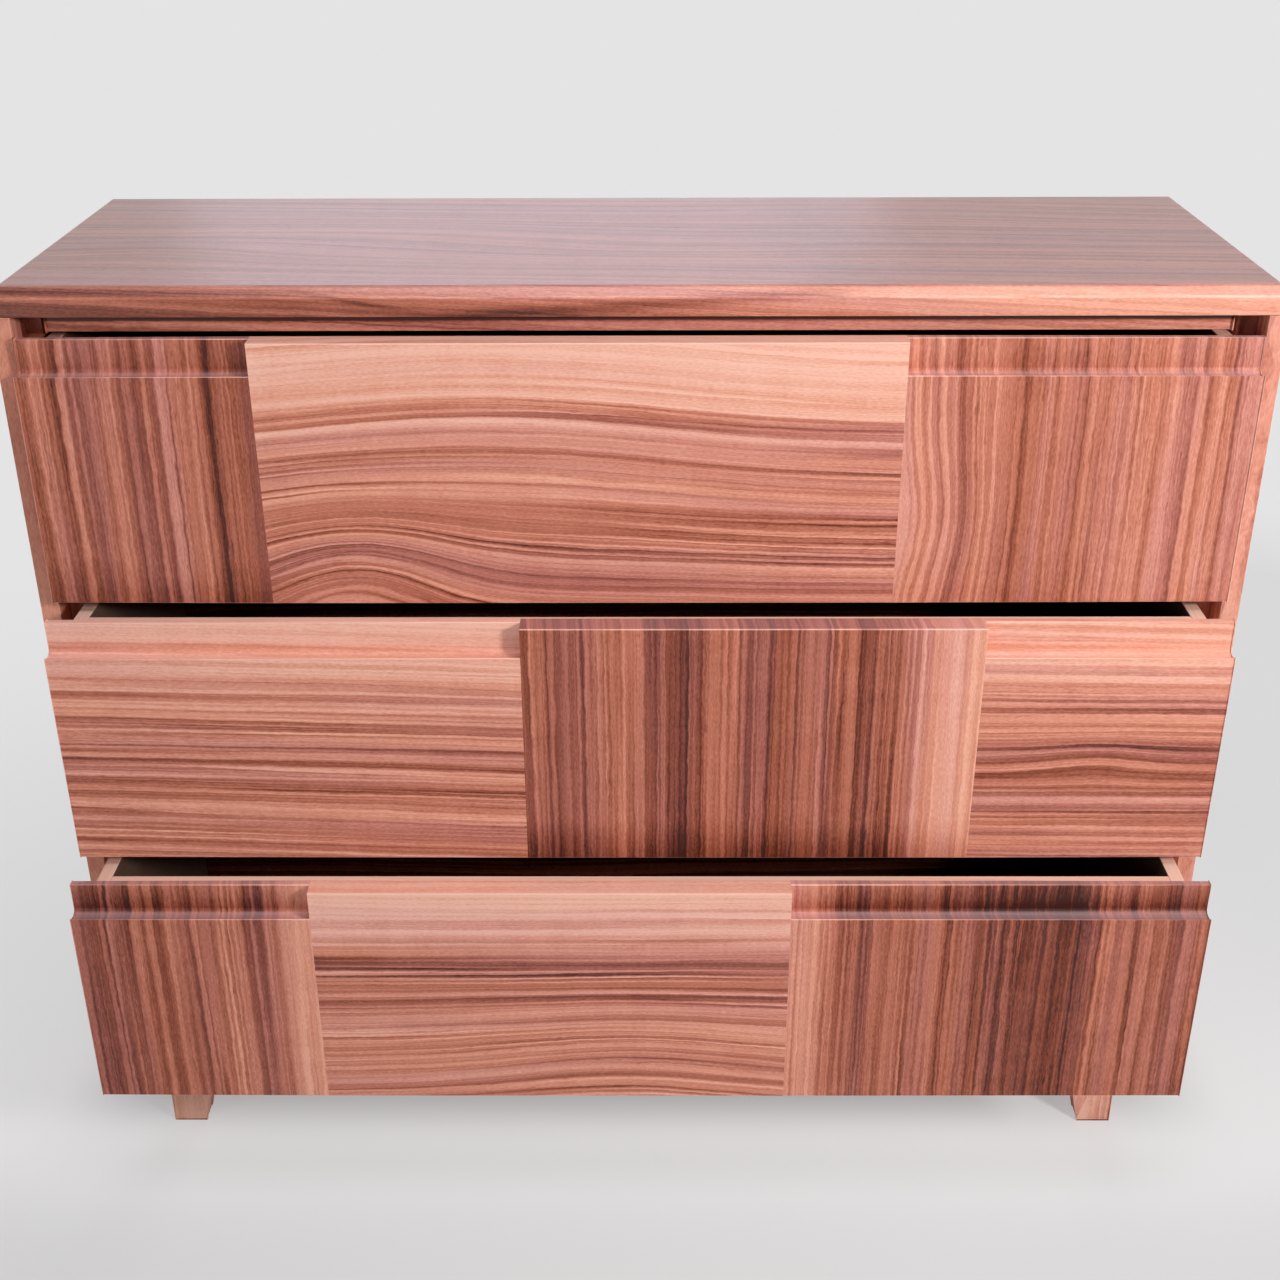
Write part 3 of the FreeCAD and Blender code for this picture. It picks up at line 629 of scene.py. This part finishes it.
# The axes run along the grain, across it and through the thickness, and bands go from the low to the high
# side; LEVEL is what the boards with level grain share
LEVEL = dict(axes="xzy", span=267.5, ragged=1.2, depth_slope=0.55)
FIGURES = {
    "drawer_1_front_left": dict(
        axes="zxy", span=222.0, seed=1, meander=3.0, low_shade=0.12, up_sheen=0.28,
        bands=((0.0, 0.50), (0.05, 0.64), (0.09, 0.50), (0.16, 0.68), (0.21, 0.50), (0.30, 0.64),
               (0.40, 0.50), (0.48, 0.62), (0.53, 0.52), (0.57, 0.62), (0.64, 0.46), (0.74, 0.46),
               (0.81, 0.72), (0.87, 0.66), (0.91, 0.54), (1.0, 0.56))),
    "drawer_1_front_center": dict(
        LEVEL, seed=2, meander=5.0, ring=0.55, period=15.0, lines=0.16, broad=0.13, fine=0.10,
        bumps=((225.0, 260.0, 190.0, 160.0, 30.0), (80.0, 105.0, 30.0, 75.0, 42.0)),
        bands=((0.0, 0.46), (0.20, 0.40), (0.42, 0.40), (0.50, 0.42), (0.555, 0.34), (0.57, 0.62),
               (0.59, 0.54), (0.60, 0.26), (0.615, 0.28), (0.625, 0.64), (0.645, 0.42), (0.665, 0.66),
               (0.685, 0.50), (0.705, 0.18), (0.80, 0.08), (1.0, 0.06))),
    "drawer_1_front_right": dict(
        axes="zxy", span=335.0, seed=3, meander=5.0, ring=0.16, up_sheen=0.28,
        bumps=((90.0, 75.0, 30.0, 55.0, 16.0),),
        bands=((0.0, 0.34), (0.10, 0.36), (0.16, 0.56), (0.24, 0.42), (0.31, 0.66), (0.36, 0.62),
               (0.42, 0.52), (0.52, 0.56), (0.64, 0.48), (0.80, 0.44), (0.90, 0.50), (1.0, 0.44))),
    "drawer_2_front_left": dict(
        LEVEL, seed=4, meander=5.0, tilt=0.030, ring=0.42, period=11.0, lines=0.16, broad=0.16, up_sheen=0.08,
        bands=((0.0, 0.38), (0.25, 0.40), (0.45, 0.52), (0.60, 0.46), (0.75, 0.34), (0.86, 0.16),
               (1.0, 0.06))),
    "drawer_2_front_center_a": dict(
        axes="zxy", span=144.0, seed=5, meander=4.0, low_shade=0.18, up_sheen=0.20,
        bands=((0.0, 0.54), (0.20, 0.68), (0.60, 0.62), (0.72, 0.46), (0.84, 0.56), (1.0, 0.66))),
    "drawer_2_front_center_b": dict(
        axes="zxy", span=315.0, seed=6, meander=4.0, low_shade=0.18, up_sheen=0.20,
        bands=((0.0, 0.74), (0.10, 0.70), (0.22, 0.60), (0.34, 0.72), (0.48, 0.60), (0.60, 0.64),
               (0.72, 0.66), (0.79, 0.44), (0.84, 0.24), (1.0, 0.22))),
    "drawer_2_front_right": dict(
        LEVEL, seed=7, meander=5.0, tilt=0.01, ring=0.34, period=12.0, lines=0.12, broad=0.13, up_sheen=0.08,
        bumps=((120.0, 60.0, 120.0, 26.0, 8.0),),
        bands=((0.0, 0.46), (0.22, 0.44), (0.40, 0.56), (0.44, 0.60), (0.52, 0.42), (0.66, 0.44),
               (0.84, 0.22), (1.0, 0.14))),
    "drawer_3_front_left": dict(
        axes="zxy", span=248.0, seed=8, meander=4.0, hollow_shade=0.22, up_sheen=0.32,
        bands=((0.0, 0.64), (0.07, 0.60), (0.12, 0.74), (0.18, 0.60), (0.45, 0.58), (0.62, 0.46),
               (0.76, 0.62), (0.84, 0.50), (0.87, 0.26), (1.0, 0.24))),
    "drawer_3_front_center": dict(
        LEVEL, seed=9, meander=6.0, ring=0.42, period=13.0, lines=0.14, broad=0.15, fine=0.10,
        bumps=((330.0, 170.0, 60.0, 80.0, 22.0),),
        bands=((0.0, 0.40), (0.20, 0.42), (0.45, 0.44), (0.60, 0.48), (0.67, 0.52), (0.73, 0.26),
               (0.86, 0.12), (1.0, 0.08))),
    "drawer_3_front_right": dict(
        axes="zxy", span=432.0, seed=10, meander=5.0, hollow_shade=0.24, up_sheen=0.32,
        bands=((0.0, 0.36), (0.08, 0.40), (0.13, 0.66), (0.30, 0.60), (0.44, 0.66), (0.60, 0.82),
               (0.68, 0.84), (0.74, 0.66), (0.86, 0.58), (1.0, 0.66))),
}


def make_front_board(node):
    """One board of a drawer front, with its finger pull if it is an outer board."""
    low, high = corners(node)
    (y0, z0), (y1, z1) = low[1:], high[1:]
    if node.endswith(("_left", "_right")):
        lip = z1 - PULL_HEIGHT
        floor = lip - PULL_GROOVE
        wall = y0 + PULL_DEPTH
        outline = [
            (y0, z0, FACE_EASE), (y1, z0, FACE_EASE), (y1, z1, FACE_EASE), (wall, z1, FACE_EASE),
            (wall, floor, PULL_COVE), (y0 + PULL_LIP, floor, GROOVE_EASE), (y0 + PULL_LIP, lip, LIP_EASE),
            (y0, lip, LIP_EASE),
        ]
    else:
        outline = rectangle(y0, z0, y1, z1, (FACE_EASE, FACE_EASE, FACE_EASE, TOP_EASE))
    low_ease = END_EASE if node.endswith("_left") else 0.0
    high_ease = END_EASE if node.endswith("_right") else 0.0
    piece = prism(node + "_board", "x", outline, low[0], high[0], low_ease, high_ease)
    return dress(piece, node, striped_wood("wood_" + node, **FIGURES[node]))


def make_fronts():
    """The boards of the three drawer fronts."""
    for node in FIGURES:
        make_front_board(node)


# Drawer boxes

# Floor and its groove, in millimetres
FLOOR_RISE = 13.0
FLOOR_THICK = 9.0
FLOOR_GROOVE = 6.0


def make_boxes():
    """Drawer boxes with their grooves for the floor."""
    for drawer in (1, 2, 3):
        name = f"drawer_{drawer}_box_"
        for side, way in (("left", 1.0), ("right", -1.0)):
            low, high = corners(name + side)
            outer, inner = (low[0], high[0]) if way > 0.0 else (high[0], low[0])
            groove = inner - way * FLOOR_GROOVE
            floor = low[2] + FLOOR_RISE
            roof = floor + FLOOR_THICK
            outline = [
                (outer, low[2], BOX_END_EASE), (inner, low[2], BOX_END_EASE), (inner, floor, 0.0),
                (groove, floor, 0.0), (groove, roof, 0.0), (inner, roof, 0.0), (inner, high[2], BOX_EASE),
                (outer, high[2], BOX_EASE),
            ]
            if way < 0.0:
                outline.reverse()
            piece = prism(name + side + "_board", "y", outline, low[1], high[1], 0.0, BOX_END_EASE)
            material = pale_wood(f"pale_{drawer}_{side}", "yzx", drawer * 5 + way, ("x", way))
            dress(piece, name + side, material)
        low, high = corners(name + "front")
        y0, y1 = low[1], high[1]
        floor = low[2] + FLOOR_RISE
        roof = floor + FLOOR_THICK
        outline = [
            (y0, low[2], BOX_END_EASE), (y1, low[2], BOX_END_EASE), (y1, floor, 0.0),
            (y1 - FLOOR_GROOVE, floor, 0.0), (y1 - FLOOR_GROOVE, roof, 0.0), (y1, roof, 0.0),
            (y1, high[2], BOX_EASE), (y0, high[2], BOX_HIDDEN_EASE),
        ]
        piece = prism(name + "front_board", "x", outline, low[0], high[0], 0.0, 0.0)
        material = pale_wood(f"pale_{drawer}_front", "xzy", drawer * 5 + 2, ("y", 1.0))
        dress(piece, name + "front", material)
        for part, axes, span, ease, end_ease in (
                ("back", "xzy", 150.0, BOX_EASE, 0.0),
                ("floor", "yxz", 1100.0, BOX_FLOOR_EASE, BOX_FLOOR_EASE)):
            # The backs and floors of the boxes are nearly black brown, as painted shade inside the boxes
            material = striped_wood(
                f"wood_{part}_{drawer}", axes=axes, span=span, seed=70 + drawer, meander=16.0, ring=0.2,
                period=16.0, gloss=0.5, coat=0.0,
                bands=((0.0, 0.90), (0.3, 0.96), (0.6, 0.90), (1.0, 0.94)))
            plain_board(name + part, axes[0], material, ease, end_ease)


# Carcass

# Bevel and easing of the top, and width of a foot at the floor, in millimetres
TOP_BEVEL = 9.5
TOP_SOFT = 1.6
FOOT_TOE = 40.0

# How far below the rail's top its dark line runs, in millimetres
RAIL_SHADOW = 2.6

# Darkness across the feet, lighter on the left as painted light on the feet that stand in shade
FOOT_LIT_BANDS = {
    "left": ((0.0, 0.06), (0.5, 0.16), (1.0, 0.34)),
    "right": ((0.0, 0.24), (0.5, 0.28), (1.0, 0.34)),
}


def soften(mesh, layer, width):
    """Round every edge of a solid, and mark the new faces."""
    made = bmesh.ops.bevel(mesh, geom=mesh.edges[:], offset=width, segments=4, affect="EDGES",
                           profile=0.5, clamp_overlap=True)
    fresh = set(made["faces"])
    for vert in mesh.verts:
        vert[layer] = 1.0 if all(face in fresh for face in vert.link_faces) else 0.0


def make_top():
    """Top panel with bevelled ends and a bevelled front edge."""
    low, high = corners("top_panel")
    size = [b - a for a, b in zip(low, high)]
    shoulder = size[2] - TOP_BEVEL
    spots = [(x, y, z) for x in (0.0, size[0]) for y in (0.0, size[1]) for z in (0.0, shoulder)]
    spots += [(x, y, size[2]) for x in (TOP_BEVEL, size[0] - TOP_BEVEL) for y in (TOP_BEVEL, size[1])]
    mesh = bmesh.new()
    layer = mesh.verts.layers.float.new("arris")
    for spot in spots:
        mesh.verts.new([value * MM for value in spot])
    bmesh.ops.convex_hull(mesh, input=mesh.verts)
    bmesh.ops.dissolve_limit(mesh, angle_limit=0.01, verts=mesh.verts, edges=mesh.edges)
    soften(mesh, layer, TOP_SOFT * MM)
    piece = finished_piece("top_panel_board", mesh, [value * MM for value in low])
    material = striped_wood(
        "wood_top", axes="xyz", span=392.0, seed=21, meander=7.0, tilt=0.06, ring=0.05, period=17.0,
        broad=0.085, lines=0.05, fine=0.15, depth_slope=1.2, gloss=0.26, coat=0.55, coat_rough=0.30,
        wear_and_highlight=0.14, top_sheen=0.16,
        bumps=((330.0, 200.0, 230.0, 60.0, 26.0), (880.0, 260.0, 330.0, 90.0, 24.0),
               (130.0, 150.0, 150.0, 60.0, 30.0), (620.0, 190.0, 140.0, 45.0, -20.0)),
        streaks=((-60.0, 24.0, 340.0, 22.0, 2.6, 0.22), (300.0, 22.0, 440.0, -2.0, 2.2, 0.26),
                 (420.0, -1.0, 870.0, 28.0, 5.5, 0.26)),
        upper_face=(26.6, 0.62),
        bands=((0.0, 0.80), (0.035, 0.74), (0.05, 0.66), (0.077, 0.58), (0.12, 0.44), (0.153, 0.34),
               (0.176, 0.28), (0.212, 0.22), (0.268, 0.20), (1.0, 0.30)))
    dress(piece, "top_panel", material)


def make_sides():
    """Side panels, and the rail under the top."""
    for side, seed in (("left", 31), ("right", 32)):
        material = striped_wood(
            "wood_side_" + side, axes="zyx", span=392.0, seed=seed, meander=7.0, ring=0.34, period=12.0,
            bands=((0.0, 0.34), (0.15, 0.46), (0.45, 0.40), (0.75, 0.55), (1.0, 0.44)))
        plain_board("side_panel_" + side, "z", material, CASE_EASE, SIDE_END_EASE)
    low, high = corners("top_rail")
    shadow = high[2] - low[2] - RAIL_SHADOW
    material = striped_wood(
        "wood_rail", axes="xyz", span=80.0, seed=41, meander=2.0, tilt=0.05, depth_slope=1.0,
        streaks=((-100.0, shadow, 1400.0, shadow, 3.0, 1.2),),
        bands=((0.0, 0.56), (0.45, 0.52), (0.7, 0.36), (1.0, 0.22)))
    plain_board("top_rail", "x", material, RAIL_EASE, RAIL_END_EASE)


def make_feet():
    """Feet, upright outside and tapered inside."""
    for i, node in enumerate(("foot_front_left", "foot_front_right", "foot_back_left", "foot_back_right")):
        low, high = corners(node)
        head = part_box("bottom_panel")[0].z / MM
        side = node.rsplit("_", 1)[1]
        outer, inner, way = (low[0], high[0], 1.0) if side == "left" else (high[0], low[0], -1.0)
        outline = [
            (outer, 0.0, FOOT_EASE), (outer + way * FOOT_TOE, 0.0, FOOT_EASE), (inner, head, 0.0),
            (outer, head, 0.0),
        ]
        if way < 0.0:
            outline.reverse()
        piece = prism(node + "_board", "y", outline, low[1], high[1], FOOT_EASE, FOOT_EASE)
        # The tapered inner faces are much darker than end grain gives, as painted shade
        material = striped_wood(
            "wood_" + node, axes="zxy", span=75.0, seed=51 + i, meander=3.0, end_grain_and_shade=(0.15, 0.35, 0.60),
            bands=FOOT_LIT_BANDS[side])
        dress(piece, node, material)


def finish_nodes():
    """Materials of the CAD nodes that stay."""
    def paint(node, material):
        piece = frame["nodes"][node]
        piece.data.materials.clear()
        piece.data.materials.append(material)

    for side, seed in (("left", 61), ("right", 62)):
        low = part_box("liner_" + side)[0]
        paint("liner_" + side, striped_wood(
            "wood_liner_" + side, axes="zyx", offset=(low.z, low.y, low.x), span=356.0, seed=seed,
            meander=8.0, ring=0.3, period=11.0, bands=((0.0, 0.62), (0.3, 0.62), (1.0, 0.56))))
    for node, axes, span, seed in (("bottom_panel", "xyz", 384.0, 63), ("back_panel", "xzy", 857.0, 64)):
        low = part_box(node)[0]
        offset = tuple(getattr(low, axis) for axis in axes)
        paint(node, striped_wood(
            "wood_" + node, axes=axes, offset=offset, span=span, seed=seed, meander=14.0, ring=0.28,
            period=13.0, gloss=0.46, coat=0.1,
            bands=((0.0, 0.58), (0.3, 0.62), (0.6, 0.54), (1.0, 0.60))))
    runner = sheet_steel("steel_runner", (0.56, 0.57, 0.58), 0.34, 1.0)
    fastener = sheet_steel("steel_screw", (0.64, 0.62, 0.56), 0.30, 0.25)
    for node in frame["nodes"]:
        if node.endswith("_screws"):
            paint(node, fastener)
        elif node.startswith("runner_"):
            paint(node, runner)


# Stage and light

BACKDROP = linear(228, 228, 228)
FLOOR_TONE = linear(255, 255, 255)
FLOOR_RADIUS = 14.0
FLOOR_GREY = 0.70
SKY = (0.95, 0.96, 1.0)
SKY_STRENGTH = 0.10

# Where the floor fades into the backdrop, round a place in front of the dresser, in metres
FADE_MIDDLE = -0.3
FADE = (0.5, 2.7)

# Where the floor dims towards the camera and to the right, in metres, and how bright and how much darker
DIM_FRONT = (-0.34, -0.12)
DIM_FRONT_LEVEL = 0.80
DIM_RIGHT = (0.45, 0.95)
DIM_RIGHT_SHARE = 0.12

# Edges of the soft shade under the dresser, in metres, and how dark it is
SHADE_SIDE = (0.60, 0.74)
SHADE_FRONT = (-0.138, -0.035)
SHADE_BACK = (0.30, 0.42)
SHADE_SHARE = 0.34


def make_floor():
    """Pale floor that keeps a light shadow and fades into the backdrop."""
    mesh = bmesh.new()
    bmesh.ops.create_circle(mesh, cap_ends=True, radius=FLOOR_RADIUS, segments=96)
    data = bpy.data.meshes.new("floor")
    mesh.to_mesh(data)
    mesh.free()
    floor = bpy.data.objects.new("floor", data)
    scene.collection.objects.link(floor)
    material, tree, shader = start_material("floor")
    shader.inputs["Base Color"].default_value = (FLOOR_GREY, FLOOR_GREY, FLOOR_GREY, 1.0)
    shader.inputs["Roughness"].default_value = 0.8
    shader.inputs["Specular IOR Level"].default_value = 0.1
    glow = tree.nodes.new("ShaderNodeEmission")
    coordinates = tree.nodes.new("ShaderNodeTexCoord")
    split = tree.nodes.new("ShaderNodeSeparateXYZ")
    tree.links.new(coordinates.outputs["Object"], split.inputs[0])
    across = Wire(tree, split.outputs[0])
    deep = Wire(tree, split.outputs[1])
    out = (across * across + (deep - FADE_MIDDLE) * (deep - FADE_MIDDLE)).power(0.5)
    far = out.smooth(*FADE)
    tone = ramp(tree, far, ((0.0, FLOOR_TONE), (1.0, BACKDROP)))
    tree.links.new(tone.socket, glow.inputs["Color"])
    under = across.absolute().smooth(*SHADE_SIDE, 1.0, 0.0) * deep.smooth(*SHADE_FRONT)
    under = under * deep.smooth(*SHADE_BACK, 1.0, 0.0)
    near = deep.smooth(*DIM_FRONT, DIM_FRONT_LEVEL, 1.0) - under * SHADE_SHARE
    near = near - across.smooth(*DIM_RIGHT) * DIM_RIGHT_SHARE
    feed(tree, glow.inputs["Strength"], near.math("MAXIMUM", near, far))
    path = tree.nodes.new("ShaderNodeLightPath")
    seen = Wire(tree, path.outputs["Is Camera Ray"])
    reflected = Wire(tree, path.outputs["Is Glossy Ray"]) + Wire(tree, path.outputs["Is Transmission Ray"])
    blend = tree.nodes.new("ShaderNodeMixShader")
    feed(tree, blend.inputs[0], (seen * (far * 0.50 + 0.50) + reflected * far).clamped())
    tree.links.new(shader.outputs[0], blend.inputs[1])
    tree.links.new(glow.outputs[0], blend.inputs[2])
    tree.links.new(blend.outputs[0], tree.nodes["Material Output"].inputs["Surface"])
    data.materials.append(material)


def make_world():
    """Pale backdrop with soft light from all round."""
    world = bpy.data.worlds.new("world")
    scene.world = world
    world.use_nodes = True
    tree = world.node_tree
    tree.nodes.clear()
    path = tree.nodes.new("ShaderNodeLightPath")
    seen = tree.nodes.new("ShaderNodeBackground")
    seen.inputs["Color"].default_value = (*BACKDROP, 1.0)
    light = tree.nodes.new("ShaderNodeBackground")
    light.inputs["Color"].default_value = (*SKY, 1.0)
    light.inputs["Strength"].default_value = SKY_STRENGTH
    total = (Wire(tree, path.outputs["Is Camera Ray"]) + Wire(tree, path.outputs["Is Glossy Ray"])
             + Wire(tree, path.outputs["Is Transmission Ray"])).clamped()
    blend = tree.nodes.new("ShaderNodeMixShader")
    feed(tree, blend.inputs[0], total)
    tree.links.new(light.outputs[0], blend.inputs[1])
    tree.links.new(seen.outputs[0], blend.inputs[2])
    output = tree.nodes.new("ShaderNodeOutputWorld")
    tree.links.new(blend.outputs[0], output.inputs["Surface"])


def area_light(name, place, target, size, power, colour):
    """Soft box at a place, facing a target."""
    data = bpy.data.lights.new(name, "AREA")
    data.shape = "RECTANGLE"
    data.size, data.size_y = size
    data.energy = power
    data.color = colour
    lamp = bpy.data.objects.new(name, data)
    scene.collection.objects.link(lamp)
    lamp.location = place
    lamp.rotation_mode = "QUATERNION"
    lamp.rotation_quaternion = (Vector(target) - Vector(place)).to_track_quat("-Z", "Y")
    lamp.visible_camera = False


def make_lights():
    """Key from the front right, weak fill from the left, cool soft boxes above, and lamps behind."""
    area_light("key", (1.78, -1.72, 1.72), (0.0, -0.15, 0.60), (0.40, 0.40), 49.0, (1.0, 0.98, 0.96))
    area_light("fill", (-2.5, -2.6, 1.0), (0.0, 0.0, 0.5), (1.4, 1.4), 17.0, (1.0, 0.98, 0.97))
    area_light("front_top", (0.0, -1.2, 3.0), (0.0, -0.15, 0.6), (1.8, 0.8), 28.0, (0.92, 0.90, 1.0))
    area_light("overhead", (0.3, 1.6, 2.6), (0.0, 0.0, 0.9), (2.4, 1.2), 6.0, (0.86, 0.88, 1.0))
    area_light("rear", (0.6, 4.6, 0.75), (0.0, 0.2, 0.6), (2.4, 0.6), 95.0, (1.0, 0.98, 0.97))
    area_light("behind", (-0.3, 3.0, 1.80), (0.0, 0.0, 1.04), (1.9, 0.9), 3.6, (0.88, 0.80, 1.0))


make_camera()
make_floor()
make_world()
make_lights()
make_fronts()
make_boxes()
make_top()
make_sides()
make_feet()
finish_nodes()
scene.view_settings.view_transform = "Standard"
